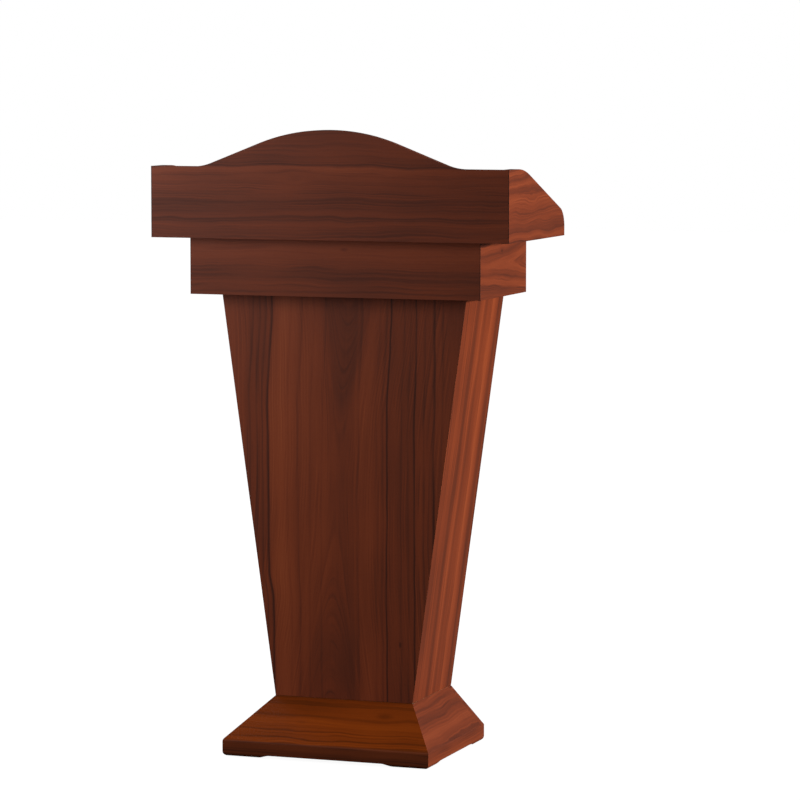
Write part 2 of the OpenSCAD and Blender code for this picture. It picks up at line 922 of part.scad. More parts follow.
plinth_cross_rail(front_y, -1, slope_turn(body_front_y - front_y));  // plinth_front_rail
plinth_cross_rail(back_y, 1, 0);  // plinth_back_rail
plinth_side_rail(-1);  // plinth_left_rail
plinth_side_rail(1);  // plinth_right_rail
base_bottom_panel();
base_spacer(-1);  // base_spacer_left
base_spacer(1);  // base_spacer_right
base_top_panel();
bevel_front();
bevel_side(-1);  // bevel_left
bevel_side(1);  // bevel_right
base_back_panel();
corner_blocks();
foot_glides();
base_screws();
body_front_panel();
body_side_panel(-1);  // body_left_panel
body_side_panel(1);  // body_right_panel
body_floor();
shelf(lower_shelf_z);  // shelf_lower
shelf(upper_shelf_z);  // shelf_upper
body_cleat(-1);  // body_cleat_left
body_cleat(1);  // body_cleat_right
body_cleat_screws();
shelf_cams();
shelf_cam_bolts();
shelf_dowels();
tier_front_panel();
tier_side_panel(-1);  // tier_left_panel
tier_side_panel(1);  // tier_right_panel
tier_bottom_panel();
runner_outer(-1);  // runner_outer_left
runner_outer(1);  // runner_outer_right
runner_outer_screws();
runner_middle(-1);  // runner_middle_left
runner_middle(1);  // runner_middle_right
runner_inner(-1);  // runner_inner_left
runner_inner(1);  // runner_inner_right
runner_inner_screws();
drawer_front();
drawer_side(-1);  // drawer_left_side
drawer_side(1);  // drawer_right_side
drawer_back();
drawer_bottom();
drawer_knob();
knob_screw();
desk_front_board();
cheek(-1);  // cheek_left
cheek(1);  // cheek_right
desk_bottom_panel();
desk_back_rail();
desk_panel();
desk_ledge();
ledge_cleat();
desk_cleat(-1);  // desk_cleat_left
desk_cleat(1);  // desk_cleat_right
desk_rib();
tier_brackets();
tier_bracket_screws();
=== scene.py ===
import json
import math

import bpy
from mathutils import Matrix, Vector


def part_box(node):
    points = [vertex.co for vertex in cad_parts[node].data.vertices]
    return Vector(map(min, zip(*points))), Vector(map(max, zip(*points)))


# A walnut pulpit in a plain studio. Metres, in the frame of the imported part:
# +Z is up, the audience side faces -Y, and the speaker stands at +Y.

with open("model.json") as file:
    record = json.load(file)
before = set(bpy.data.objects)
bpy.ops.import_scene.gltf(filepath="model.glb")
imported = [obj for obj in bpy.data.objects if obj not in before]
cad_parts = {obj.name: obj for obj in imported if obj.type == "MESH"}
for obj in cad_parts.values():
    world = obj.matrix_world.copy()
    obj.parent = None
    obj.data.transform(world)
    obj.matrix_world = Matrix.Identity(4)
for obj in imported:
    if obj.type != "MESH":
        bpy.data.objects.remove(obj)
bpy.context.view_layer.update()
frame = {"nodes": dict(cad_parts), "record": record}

# ---------------------------------------------------------------------------
# Camera, lamps and room
# ---------------------------------------------------------------------------

CAMERA_AZIMUTH = math.radians(19.975)     # from straight ahead towards +X
CAMERA_ELEVATION = math.radians(5.407)
CAMERA_DISTANCE = 6.718                   # along the view, from the foot of the pulpit
CAMERA_LENS = 169.6                       # millimetres on a 36 mm sensor
CAMERA_REACH = 100.0
AIM_RIGHT = 0.0754                        # how far the view's centre is from the foot of the pulpit,
AIM_UP = 0.6182                           # to the right and up in the picture

LAMP_AIM = Vector((0.0, 0.0, 0.60))
AMBIENT = 0.13                            # light that comes evenly from all round
FLOOR_HALF = 18.0
FLOOR_GREY = 0.14
FLOOR_GLOW = 0.95                         # under the pulpit
FAR_GLOW = 1.02                           # and away from it
FAR_GLOW_CLIMB = (0.4, 2.5)               # metres from the foot over which the one turns into the other

# name: azimuth and elevation (degrees), distance, width and height (metres), and level:
# how bright the lamp makes a white board that faces it, where 1 is full white
LAMPS = {
    "key": (92, 10.5, 4.0, 1.2, 0.36, 0.97),
    "fill": (-42, 17, 1.9, 1.0, 0.9, 0.41),
    "back": (235, 18, 3.6, 1.8, 1.4, 0.50),
}


def direction(azimuth, elevation):
    """The unit vector that points from the pulpit towards an azimuth and elevation in radians."""
    level = math.cos(elevation)
    return Vector((math.sin(azimuth) * level, -math.cos(azimuth) * level, math.sin(elevation)))


def facing(towards):
    """The rotation of a camera or lamp that looks from the given direction back at the middle."""
    right = Vector((0, 0, 1)).cross(towards).normalized()
    return Matrix((right, towards.cross(right), towards)).transposed()


def add_object(name, data, location=(0, 0, 0), rotation=None):
    made = bpy.data.objects.new(name, data)
    made.location = location
    if rotation:
        made.rotation_euler = rotation.to_euler()
    bpy.context.scene.collection.objects.link(made)
    return made


def add_camera():
    back = direction(CAMERA_AZIMUTH, CAMERA_ELEVATION)
    rotation = facing(back)
    right, up = rotation.col[0], rotation.col[1]
    data = bpy.data.cameras.new("camera")
    data.lens = CAMERA_LENS
    data.clip_end = CAMERA_REACH
    place = right * AIM_RIGHT + up * AIM_UP + back * CAMERA_DISTANCE
    return add_object("camera", data, place, rotation)


def add_lamp(name, azimuth, elevation, distance, width, height, level):
    towards = direction(math.radians(azimuth), math.radians(elevation))
    data = bpy.data.lights.new(name, "AREA")
    data.shape = "RECTANGLE"
    data.size = width
    data.size_y = height
    data.energy = level * (math.pi * distance) ** 2
    add_object(name, data, LAMP_AIM + towards * distance, facing(towards))


# ---------------------------------------------------------------------------
# Writing node trees as formulas
# ---------------------------------------------------------------------------


class Term:
    """A value worked out at each point of a surface. Formulas of terms become nodes of its tree."""

    def __init__(self, tree, socket):
        self.tree = tree
        self.socket = socket

    def math(self, operation, *others):
        made = self.tree.nodes.new("ShaderNodeMath")
        made.operation = operation
        feed(made, self, *others)
        return Term(self.tree, made.outputs[0])

    def __add__(self, other):
        return self.math("ADD", other)

    def __sub__(self, other):
        return self.math("SUBTRACT", other)

    def __mul__(self, other):
        return self.math("MULTIPLY", other)

    def __truediv__(self, other):
        return self.math("DIVIDE", other)

    def __pow__(self, other):
        return self.math("POWER", other)

    def size(self):
        return self.math("ABSOLUTE")

    def rise(self, low, high):
        """0 below low and 1 above high, with a smooth climb between. High may be the lower end."""
        made = self.tree.nodes.new("ShaderNodeMapRange")
        made.interpolation_type = "SMOOTHSTEP"
        feed(made, self, low, high)
        return Term(self.tree, made.outputs[0])

    def split(self):
        made = self.tree.nodes.new("ShaderNodeSeparateXYZ")
        feed(made, self)
        return [Term(self.tree, socket) for socket in made.outputs]


def feed(node, *values):
    """Gives a node's inputs, in order, the terms or numbers listed. None leaves an input alone."""
    for socket, value in zip(node.inputs, values):
        if isinstance(value, Term):
            value.tree.links.new(value.socket, socket)
        elif value is not None:
            socket.default_value = value


def join(x, y, z):
    made = x.tree.nodes.new("ShaderNodeCombineXYZ")
    feed(made, x, y, z)
    return Term(x.tree, made.outputs[0])


def noise(point, detail=2.0, roughness=0.5):
    """Smooth random values round zero, about -0.25 to 0.25, one lump to each unit of the point."""
    made = point.tree.nodes.new("ShaderNodeTexNoise")
    feed(made, point, None, 1.0, detail, roughness)
    return Term(point.tree, made.outputs[0]) - 0.5


def noise_along(value, detail=2.0):
    """As noise, but random along one value only."""
    return noise(join(value, 0.0, 0.0), detail)


def spread(point, scale):
    """The same point in smaller or larger units."""
    made = point.tree.nodes.new("ShaderNodeMapping")
    feed(made, point, None, None, (scale, scale, scale))
    return Term(point.tree, made.outputs[0])


def ramp(value, stops, smooth=False):
    """Colours or greys along a value from 0 to 1. Each stop is (place, colour)."""
    made = value.tree.nodes.new("ShaderNodeValToRGB")
    bar = made.color_ramp
    bar.interpolation = "EASE" if smooth else "LINEAR"
    while len(bar.elements) < len(stops):
        bar.elements.new(1.0)
    for element, (place, colour) in zip(bar.elements, stops):
        element.position = place
        element.color = (*colour, 1.0)
    feed(made, value)
    return Term(value.tree, made.outputs[0])


def tinted(colour, tint):
    made = colour.tree.nodes.new("ShaderNodeMix")
    made.data_type = "RGBA"
    made.blend_type = "MULTIPLY"
    made.inputs["Factor"].default_value = 1.0
    made.inputs["B"].default_value = (*tint, 1.0)
    colour.tree.links.new(colour.socket, made.inputs["A"])
    return Term(colour.tree, made.outputs["Result"])


def new_material(name):
    """A material with an empty principled shader, and the tree and shader to fill in."""
    made = bpy.data.materials.new(name)
    made.use_nodes = True
    return made, made.node_tree, made.node_tree.nodes["Principled BSDF"]


def object_point(tree):
    coordinates = tree.nodes.new("ShaderNodeTexCoord")
    return Term(tree, coordinates.outputs["Object"])


def finish_shader(shader, colour, roughness, height, depth, **settings):
    """Links colour, roughness and bump. The settings are shader sockets that are the same all over."""
    tree = shader.id_data
    bump = tree.nodes.new("ShaderNodeBump")
    bump.inputs["Distance"].default_value = depth
    tree.links.new(height.socket, bump.inputs["Height"])
    tree.links.new(bump.outputs["Normal"], shader.inputs["Normal"])
    tree.links.new(colour.socket, shader.inputs["Base Color"])
    tree.links.new(roughness.socket, shader.inputs["Roughness"])
    for name, value in settings.items():
        shader.inputs[name.replace("_", " ").title().replace("Ior", "IOR")].default_value = value


# ---------------------------------------------------------------------------
# Wood
# ---------------------------------------------------------------------------

# Tones of the walnut from its dark lines to its bright bands
WALNUT = [
    (0.00, (0.075, 0.0165, 0.0080)),
    (0.28, (0.138, 0.0295, 0.0125)),
    (0.52, (0.222, 0.0430, 0.0147)),
    (0.76, (0.300, 0.0600, 0.0195)),
    (1.00, (0.375, 0.0840, 0.0270)),
]


def box_of(node):
    low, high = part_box(node)
    return Vector(low), Vector(high)


MILLIMETRES = 1000.0                      # in a metre
SEED_STEP = 3.7                           # lumps of noise between one board and the next, along the grain
RING_STEP = 97.0                          # and millimetres between them across it

# How finely each pattern changes across a board, along it and out of its face, in lumps per millimetre
DRIFT_RATES = (0.007, 0.0022, 0.02)
WAVER_RATES = (0.03, 0.010, 0.06)
FIBRE_RATES = (0.8, 0.013, 0.8)
CLOUD_RATES = (0.013, 0.005, 0.02)
FADE_RATES = (0.05, 0.008, 0.02)
PORE_RATES = (2.4, 0.11, 2.4)
PATCH_RATES = (0.02, 0.007, 0.02)

# How finely the patterns that follow the grain change across it, in lumps per millimetre
BAND_RATE = 0.045
HAIR_RATE = 0.11
THREAD_RATE = 0.30

# The noise values between which a pattern goes from none to full
FADE_CLIMB = (-0.16, 0.12)
PORE_CLIMB = (0.09, 0.20)
PATCH_CLIMB = (-0.25, 0.05)
HAIR_CLIMB = (0.024, 0.0)

# How much each pattern lightens or darkens a board, and the tone it starts from
PLAIN_TONE = 0.53
BAND_TONE = 1.1
THREAD_TONE = 0.6
BOLD_THREAD_TONE = 0.5                    # added for a bold figure
FIBRE_TONE = 0.24
CLOUD_TONE = 0.36
HAIR_TONE = 0.12
PORE_TONE = 0.09
FAINT_LINE = 0.5                          # what is left of a hand-placed line where it is faintest

# The relief of the threads and pores, where that of the fibre is 1
THREAD_RELIEF = 0.5
PORE_RELIEF = 0.6

# Knots. Lengths are for a knot that is 1 wide from its middle to its edge.
KNOT_STRETCH = 2.2                        # its length along the grain
KNOT_REACH = 2.6                          # how far out it bends the grain
KNOT_PULL = 0.8                           # how much of the grain bends round it
KNOT_DARKEST = 0.1                        # how far out it is darkest

# The dark wedges inside the arches: the rings they fade in over, and the same along the board
WEDGE_RINGS = (-0.9, -3.4)
WEDGE_RUN = (-120, 120)
LOW_WEDGE_RINGS = (-4.5, -6.5)
LOW_WEDGE_RUN = (-80, -160)
LOW_WEDGE_SHARE = 0.45                    # the lower wedge's strength for the upper one's

JOINT_CLIMB = (2.2, 0.6)                  # millimetres from a board's end where a joint's shade climbs
JOINT_TONE = 0.45


def board_point(tree, middle, along, face):
    """Millimetres from the middle of a board: across the grain, along it, and out of its face."""
    across = along.cross(face)
    turn = Matrix((across, along, face))
    made = tree.nodes.new("ShaderNodeMapping")
    scale = (MILLIMETRES, MILLIMETRES, MILLIMETRES)
    feed(made, object_point(tree), turn @ middle * -MILLIMETRES, turn.to_euler(), scale)
    return Term(tree, made.outputs[0])


def knotted(u, v, knots):
    """Bends the across-grain value round each knot and darkens its heart: (new value, shade)."""
    shade = None
    bent = u
    for place_u, place_v, radius, darkness in knots:
        off_u = u - place_u
        off_v = (v - place_v) / KNOT_STRETCH
        near = (off_u * off_u + off_v * off_v) ** 0.5 / radius
        bent = bent - off_u * near.rise(KNOT_REACH, 0.0) * KNOT_PULL
        heart = near.rise(1.0, KNOT_DARKEST) * darkness
        shade = heart if shade is None else shade + heart
    return bent, shade


def arched(across, v, arch):
    """Grain that runs in nested arches, pointing away from one place along the board both ways.

    Heart and lean say where their common axis is across the board and how it slopes, and middle is that
    place along it. Depth rounds their tips, and climb says how fast they open.
    """
    heart, lean, middle, depth, climb = arch
    off = across - v * lean - heart
    run = v - middle
    return (off * off + depth * depth) ** 0.5 - run * run * climb - depth


def across_tone(across, streaks):
    """The tone of listed streaks. Each is (millimetres across from the middle, tone)."""
    low, high = streaks[0][0], streaks[-1][0]
    stops = [((place - low) / (high - low), (tone, tone, tone)) for place, tone in streaks]
    return ramp((across - low) / (high - low), stops, smooth=True) - 0.5


def line_shade(across, lines):
    """How much the listed dark lines darken a board. Each line is its place across, the widths that
    it fades in and out over on its two sides, and its strength.
    """
    total = None
    for place, fade_in, fade_out, strength in lines:
        line = across.rise(place - fade_in, place) * across.rise(place + fade_out, place) * strength
        total = line if total is None else total + line
    return total


def board_noise(axes, rates, slide, lift=0.0, detail=1.0, roughness=0.5):
    """Noise at its own rates on a board, moved along it and out of it so that no two boards match."""
    u, v, w = axes
    return noise(join(u * rates[0], v * rates[1] + slide, w * rates[2] + lift), detail, roughness)


def wedge_shade(ring, v):
    """The dark wedges inside the arches: one in the upper half, and a fainter one in the lower."""
    upper = ring.rise(*WEDGE_RINGS) * v.rise(*WEDGE_RUN)
    lower = ring.rise(*LOW_WEDGE_RINGS) * v.rise(*LOW_WEDGE_RUN)
    return upper + lower * LOW_WEDGE_SHARE


def wood_tone(point, seed, wander=30.0, waver=9.0, grain=1.0, figure=1.0,
              bends=(), arch=None, dark_heart=0.0, streaks=None, lines=(), knots=()):
    """The tone of a board, 0 dark to 1 bright, and a fine height for its bump.

    Wander and waver are about how many millimetres the grain drifts by, slowly and quickly. Grain is the
    fineness of its bands and threads, and figure their contrast. Each bend shifts the grain by its reach
    between two places along the board, and fades out between two places across it. Dark_heart is the
    strength of the dark wedges inside the arches. The rest is given for one board alone.
    """
    axes = point.split()
    u, v = axes[:2]
    shift = seed * SEED_STEP
    bent, knot_shade = knotted(u, v, knots)
    slow = board_noise(axes, DRIFT_RATES, shift, shift)
    quick = board_noise(axes, WAVER_RATES, shift, -shift, detail=2.0)
    across = bent + slow * wander + quick * waver
    for (start, end), (rim, core), reach in bends:
        across = across - v.rise(start, end) * u.rise(rim, core) * reach
    ring = arched(across, v, arch) if arch else across
    place = ring * grain + seed * RING_STEP
    bands = noise_along(place * BAND_RATE)
    threads = noise_along(place * THREAD_RATE)
    hair = noise_along(place * HAIR_RATE, 1.0).size().rise(*HAIR_CLIMB)
    fibre = board_noise(axes, FIBRE_RATES, shift, detail=3.0, roughness=0.6)
    cloud = board_noise(axes, CLOUD_RATES, -shift)
    fade = board_noise(axes, FADE_RATES, shift).rise(*FADE_CLIMB)
    pores = board_noise(axes, PORE_RATES, shift, detail=2.0).rise(*PORE_CLIMB)
    tone = bands * (BAND_TONE * figure) + threads * fade * (THREAD_TONE + BOLD_THREAD_TONE * figure)
    tone = tone + fibre * FIBRE_TONE + cloud * CLOUD_TONE
    tone = tone - hair * fade * HAIR_TONE - pores * PORE_TONE + PLAIN_TONE
    if dark_heart:
        tone = tone - wedge_shade(ring, v) * dark_heart
    if streaks:
        tone = tone + across_tone(across, streaks)
    if lines:
        patches = board_noise(axes, PATCH_RATES, shift).rise(*PATCH_CLIMB)
        tone = tone - line_shade(across, lines) * (patches * (1.0 - FAINT_LINE) + FAINT_LINE)
    if knot_shade:
        tone = tone - knot_shade
    return tone, fibre + threads * THREAD_RELIEF - pores * PORE_RELIEF


def walnut_board(node, along, face, seed, tint=(1.0, 1.0, 1.0), joint=None, gloss=0.15, **look):
    """Satin walnut laminate for one board: its grain runs along one way and shows on one face.

    Joint is half the board's length in millimetres, for one whose ends show a thin dark joint.
    """
    made, tree, shader = new_material("walnut_" + node)
    low, high = box_of(node)
    point = board_point(tree, (low + high) / 2, along.normalized(), face.normalized())
    tone, height = wood_tone(point, seed, **look)
    if joint:
        end = point.split()[1].size()
        tone = tone - end.rise(*(joint - inset for inset in JOINT_CLIMB)) * JOINT_TONE
    colour = tinted(ramp(tone, WALNUT), tint)
    roughness = tone * -0.10 + height * 0.10 + 0.50
    finish_shader(shader, colour, roughness, height, depth=0.00004, specular_ior_level=gloss)
    return made


# ---------------------------------------------------------------------------
# Boards of the pulpit
# ---------------------------------------------------------------------------

X = Vector((1, 0, 0))
Y = Vector((0, 1, 0))
Z = Vector((0, 0, 1))

# The leaning sides of the body and the slopes of the base, from the boxes of their boards
body_low, body_high = box_of("body_front_panel")
foot_half = -box_of("bevel_left")[1].x
taper = math.atan((body_high.x - foot_half) / (body_high.z - body_low.z))
bevel_low, bevel_high = box_of("bevel_front")
bevel_rise = bevel_high.z - bevel_low.z
front_slope = math.atan2(bevel_high.y - bevel_low.y, bevel_rise)
side_slope = math.atan2(bevel_high.x - foot_half, bevel_rise)


def mirrored(way):
    """The same direction on the pulpit's left half."""
    return Vector((-way.x, way.y, way.z))


up_right_side = Vector((math.sin(taper), 0, math.cos(taper)))
out_of_right_side = Vector((math.cos(taper), 0, -math.sin(taper)))
out_of_front_bevel = Vector((0, -math.cos(front_slope), math.sin(front_slope)))
out_of_right_bevel = Vector((math.cos(side_slope), 0, math.sin(side_slope)))

# What the boards seen from the front show, across the grain in millimetres from the board's middle:
# from left to right on the body, and from the bottom up on the others. Streaks are (place, tone).
# Lines are (place, fade in, fade out, strength). Bends are as in wood_tone.
BODY_STREAKS = [
    (-230, 0.54), (-190, 0.56), (-181, 0.44), (-168, 0.42), (-150, 0.44), (-141, 0.44), (-134, 0.66),
    (-118, 0.76), (-100, 0.70), (-88, 0.58), (-70, 0.62), (-50, 0.52), (-34, 0.52), (0, 0.44), (18, 0.42),
    (24, 0.56), (40, 0.60), (50, 0.62), (58, 0.54), (73, 0.52), (86, 0.42), (94, 0.46),
    (112, 0.42), (128, 0.42), (140, 0.50), (160, 0.46), (174, 0.50), (200, 0.42), (230, 0.42),
]
BODY_LINES = [
    (-176, 5, 2.5, 0.16), (-163, 4, 3, 0.14), (-152, 5, 2, 0.18), (-141, 5, 2.2, 0.50), (-104, 6, 2.5, 0.10),
    (-84, 6, 2, 0.16), (-62, 7, 2, 0.10), (-41, 4, 2.4, 0.10), (29, 8, 2.4, 0.16), (62, 3, 5, 0.10),
    (74, 5, 3, 0.18), (82, 3, 1.6, 0.62), (108, 5, 2, 0.14), (121, 4, 2.5, 0.12), (133, 4, 1.8, 0.50),
    (151, 5, 2.4, 0.14), (170, 6, 2, 0.42), (184, 4, 3, 0.16),
]
BODY_BENDS = [((150, 330), (170, 90), 8), ((-130, -190), (-60, -120), 9)]
HEADER_STREAKS = [
    (-95, 0.42), (-78, 0.36), (-72, 0.48), (-58, 0.34), (-52, 0.46), (-34, 0.33), (-22, 0.37), (-8, 0.45),
    (6, 0.48), (18, 0.53), (22, 0.61), (29, 0.59), (34, 0.36), (44, 0.40), (54, 0.46), (72, 0.47), (95, 0.42),
]
HEADER_LINES = [
    (-82, 4, 2, 0.05), (-72, 3, 2, 0.08), (-56, 4, 1.8, 0.20), (-43, 3, 2, 0.05), (-27, 4, 2.2, 0.15),
    (-13, 4, 2, 0.05), (5, 3, 2, 0.09), (17, 3, 2, 0.05), (33, 2, 5, 0.14), (50, 4, 2, 0.07),
    (64, 4, 2, 0.05),
]
TIER_STREAKS = [
    (-50, 0.44), (-38, 0.36), (-28, 0.44), (-14, 0.32), (-2, 0.34), (8, 0.50), (20, 0.60), (36, 0.66),
    (50, 0.58),
]
TIER_LINES = [
    (-40, 3, 2, 0.09), (-30, 3, 2, 0.07), (-15, 4, 2, 0.14), (-3, 4, 2, 0.08), (12, 3, 2, 0.06),
    (27, 4, 2, 0.07),
]
BEVEL_STREAKS = [
    (-60, 0.46), (-52, 0.60), (-38, 0.58), (-30, 0.64), (-20, 0.64), (-6, 0.68), (4, 0.62), (12, 0.52),
    (22, 0.58), (34, 0.54), (42, 0.42), (50, 0.50), (60, 0.44),
]
BEVEL_LINES = [
    (-45, 5, 3, 0.30), (-27, 3, 4, 0.36), (-13, 4, 2, 0.10), (12, 6, 3, 0.14), (27, 3, 2, 0.08),
    (41, 6, 4, 0.16),
]
SIDE_TINT = (0.90, 0.89, 0.90)            # the sides of the two tiers are a shade darker

BOARDS = {
    "desk_front_board": dict(
        along=-X, face=-Y, seed=1, wander=22, waver=16, figure=0.16, joint=330,
        streaks=HEADER_STREAKS, lines=HEADER_LINES, knots=[(12, 60, 9, 0.06)],
    ),
    "tier_front_panel": dict(
        along=-X, face=-Y, seed=2, wander=20, waver=16, figure=0.22, joint=269,
        streaks=TIER_STREAKS, lines=TIER_LINES, knots=[(33, -20, 5, 0.22)],
    ),
    "body_front_panel": dict(
        along=Z, face=-Y, seed=3, wander=12, waver=5, figure=0.26,
        bends=BODY_BENDS, arch=(-12, 0.041, 26, 40, 2.33e-4), dark_heart=0.13,
        streaks=BODY_STREAKS, lines=BODY_LINES, knots=[(106, -254, 3.5, 0.35)],
    ),
    "body_right_panel": dict(
        along=up_right_side, face=out_of_right_side, seed=4,
        wander=26, waver=8, grain=0.5, figure=1.7, tint=(1.04, 1.0, 0.92),
    ),
    "body_left_panel": dict(
        along=mirrored(up_right_side), face=mirrored(out_of_right_side), seed=5,
        wander=26, waver=8, grain=0.5, figure=1.7, tint=(1.04, 1.0, 0.92),
    ),
    "cheek_right": dict(along=-Y, face=X, seed=6, wander=60, waver=20, figure=1.5, tint=SIDE_TINT),
    "cheek_left": dict(along=Y, face=-X, seed=7, wander=60, waver=20, figure=1.5, tint=SIDE_TINT),
    "tier_right_panel": dict(
        along=-Y, face=X, seed=8, wander=14, waver=14, figure=1.6, tint=SIDE_TINT,
        arch=(8, 0.0, 150, 10, 2.2e-4), knots=[(30, 10, 4, 0.3)],
    ),
    "tier_left_panel": dict(along=Y, face=-X, seed=9, wander=26, waver=14, figure=1.6, tint=SIDE_TINT),
    "bevel_front": dict(
        along=-X, face=out_of_front_bevel, seed=10, wander=18, waver=16, figure=0.6,
        # the strong yellow tint is painted light: it stands in for warm light falling from above on this
        # upward-facing slope
        tint=(0.93, 0.82, 0.21), gloss=0.08,
        streaks=BEVEL_STREAKS, lines=BEVEL_LINES, knots=[(22, -88, 11, 0.22), (-4, 60, 6, 0.08)],
    ),
    "bevel_right": dict(
        along=-Y, face=out_of_right_bevel, seed=11, wander=30, waver=18, grain=0.7, figure=1.4,
    ),
    "bevel_left": dict(
        along=Y, face=mirrored(out_of_right_bevel), seed=12, wander=30, waver=18, grain=0.7, figure=1.4,
    ),
    "plinth_front_rail": dict(
        along=-X, face=-Y, seed=13, wander=16, waver=8, tint=(0.80, 0.89, 0.86), gloss=0.05,
    ),
    "plinth_back_rail": dict(along=X, face=Y, seed=14, wander=16, waver=8),
    "plinth_left_rail": dict(along=Y, face=-X, seed=15, wander=16, waver=8),
    "plinth_right_rail": dict(along=-Y, face=X, seed=16, wander=16, waver=8),
    "base_back_panel": dict(along=X, face=Y, seed=17, wander=20, waver=10),
    "body_floor": dict(along=X, face=Z, seed=18),
    "shelf_lower": dict(along=X, face=Z, seed=19),
    "shelf_upper": dict(along=X, face=Z, seed=20),
    "tier_bottom_panel": dict(along=X, face=-Z, seed=21),
    "drawer_front": dict(along=X, face=Y, seed=22, wander=22, waver=12),
    "desk_panel": dict(along=X, face=Z, seed=23, wander=30, waver=10),
    "desk_ledge": dict(along=X, face=Z, seed=24, wander=30, waver=10),
    "desk_back_rail": dict(along=X, face=Y, seed=25, wander=20, waver=10),
    "desk_bottom_panel": dict(along=X, face=-Z, seed=26),
}

for node, look in BOARDS.items():
    skin = walnut_board(node, **look)
    frame["nodes"][node].material_slots[0].material = skin


# ---------------------------------------------------------------------------
# Plain wood, metal and plastic
# ---------------------------------------------------------------------------

PINE = [
    (0.00, (0.300, 0.150, 0.060)),
    (0.35, (0.480, 0.280, 0.130)),
    (0.60, (0.580, 0.370, 0.190)),
    (1.00, (0.680, 0.480, 0.280)),
]
DRAWER_WOOD = [
    (0.00, (0.240, 0.120, 0.055)),
    (0.35, (0.380, 0.210, 0.100)),
    (0.60, (0.470, 0.275, 0.140)),
    (1.00, (0.560, 0.360, 0.200)),
]
CHIP = [
    (0.00, (0.150, 0.085, 0.040)),
    (0.45, (0.330, 0.210, 0.110)),
    (0.70, (0.440, 0.300, 0.170)),
    (1.00, (0.560, 0.420, 0.270)),
]
ZINC = [
    (0.0, (0.330, 0.345, 0.370)),
    (0.5, (0.480, 0.490, 0.505)),
    (1.0, (0.620, 0.620, 0.615)),
]
BRASS = [
    (0.0, (0.520, 0.300, 0.080)),
    (0.5, (0.760, 0.500, 0.160)),
    (1.0, (0.880, 0.640, 0.260)),
]
NYLON = [
    (0.0, (0.010, 0.010, 0.011)),
    (1.0, (0.028, 0.027, 0.027)),
]

# How fine these surfaces are, in lumps per metre
FLAKE_RATE = 420.0
DUST_RATE = 900.0
GRIT_RATE = 1500.0
TARNISH_RATE = 90.0
ZINC_BRUSH = (2500.0, 120.0, 2500.0)
BRASS_BRUSH = (900.0, 4000.0, 900.0)

ZINC_ROUGHNESS = 0.34
BRASS_ROUGHNESS = 0.28


def longest_and_shortest(node):
    """The axes along a plain board's length and across its thickness."""
    low, high = box_of(node)
    axes = sorted(zip(high - low, range(3)))
    ways = (X, Y, Z)
    return ways[axes[2][1]], ways[axes[0][1]]


def plain_board(node, palette, seed):
    """Solid wood with rings, fibre and a dry surface, in the tones of a palette."""
    made, tree, shader = new_material("wood_" + node)
    along, face = longest_and_shortest(node)
    low, high = box_of(node)
    point = board_point(tree, (low + high) / 2, along, face)
    tone, height = wood_tone(point, seed, wander=24, waver=8)
    roughness = height * 0.12 + 0.62
    colour = ramp(tone, palette)
    finish_shader(shader, colour, roughness, height, depth=0.00008, specular_ior_level=0.25)
    return made


def chipboard():
    """Bare pressed board: flakes of a few millimetres in light and dark browns."""
    made, tree, shader = new_material("chipboard")
    point = object_point(tree)
    flakes = tree.nodes.new("ShaderNodeTexVoronoi")
    feed(flakes, point, None, FLAKE_RATE)
    flake_tone = Term(tree, flakes.outputs["Color"]).split()[0]
    fine = noise(spread(point, DUST_RATE), 3.0)
    tone = flake_tone * 0.55 + fine * 0.8 + 0.20
    roughness = fine * 0.2 + 0.78
    finish_shader(shader, ramp(tone, CHIP), roughness, tone, depth=0.0002, specular_ior_level=0.2)
    return made


def metal(name, palette, dullness, brush):
    """Satin metal of one middling roughness. Brush holds how fine its marks are along X, Y and Z."""
    made, tree, shader = new_material(name)
    point = object_point(tree)
    x, y, z = point.split()
    marks = noise(join(x * brush[0], y * brush[1], z * brush[2]), 3.0, 0.6)
    tarnish = noise(spread(point, TARNISH_RATE))
    tone = marks * 0.8 + tarnish * 0.9 + 0.55
    roughness = marks * 0.25 - tarnish * 0.2 + dullness
    finish_shader(shader, ramp(tone, palette), roughness, marks, depth=0.00003, metallic=1.0)
    return made


def nylon():
    """Black moulded nylon with a fine dull grit."""
    made, tree, shader = new_material("nylon")
    grit = noise(spread(object_point(tree), GRIT_RATE))
    finish_shader(shader, ramp(grit + 0.5, NYLON), grit * 0.2 + 0.55, grit, depth=0.0001)
    return made


# Nodes that don't wear the material of their slot
CHIPBOARD_NODES = ("base_bottom_panel", "base_top_panel", "base_spacer_left", "base_spacer_right")
STAINED_NODES = ("body_cleat_left", "body_cleat_right")

ALIKE = {
    "steel": metal("zinc_plate", ZINC, ZINC_ROUGHNESS, ZINC_BRUSH),
    "brass": metal("satin_brass", BRASS, BRASS_ROUGHNESS, BRASS_BRUSH),
    "nylon": nylon(),
}
PALETTES = {"plain_wood": PINE, "drawer_wood": DRAWER_WOOD}
pressed = chipboard()

for seed, part in enumerate(frame["record"]["subparts"]):
    node, kind = part["node"], part["material_slot"]
    if node in BOARDS:
        continue
    if node in CHIPBOARD_NODES:
        skin = pressed
    elif node in STAINED_NODES:
        skin = plain_board(node, WALNUT, seed)
    elif kind in PALETTES:
        skin = plain_board(node, PALETTES[kind], seed)
    else:
        skin = ALIKE[kind]
    frame["nodes"][node].material_slots[0].material = skin


# ---------------------------------------------------------------------------
# Softened arrises
# ---------------------------------------------------------------------------

ARRIS = 0.0006                            # metres that sanding takes off a board's edge
SHORTEST_ARRIS = 0.0015                   # shorter edges are the rims of bores, which stay sharp
SHARPEST_BLEND = math.radians(28)         # faces that meet at a larger angle share a sharp edge
WELD = 0.00001                            # metres between corners that are the same corner
WEAR_RATE = 60.0                          # worn and less worn places, in lumps per metre
SOFTENED = ("walnut", "plain_wood", "drawer_wood")


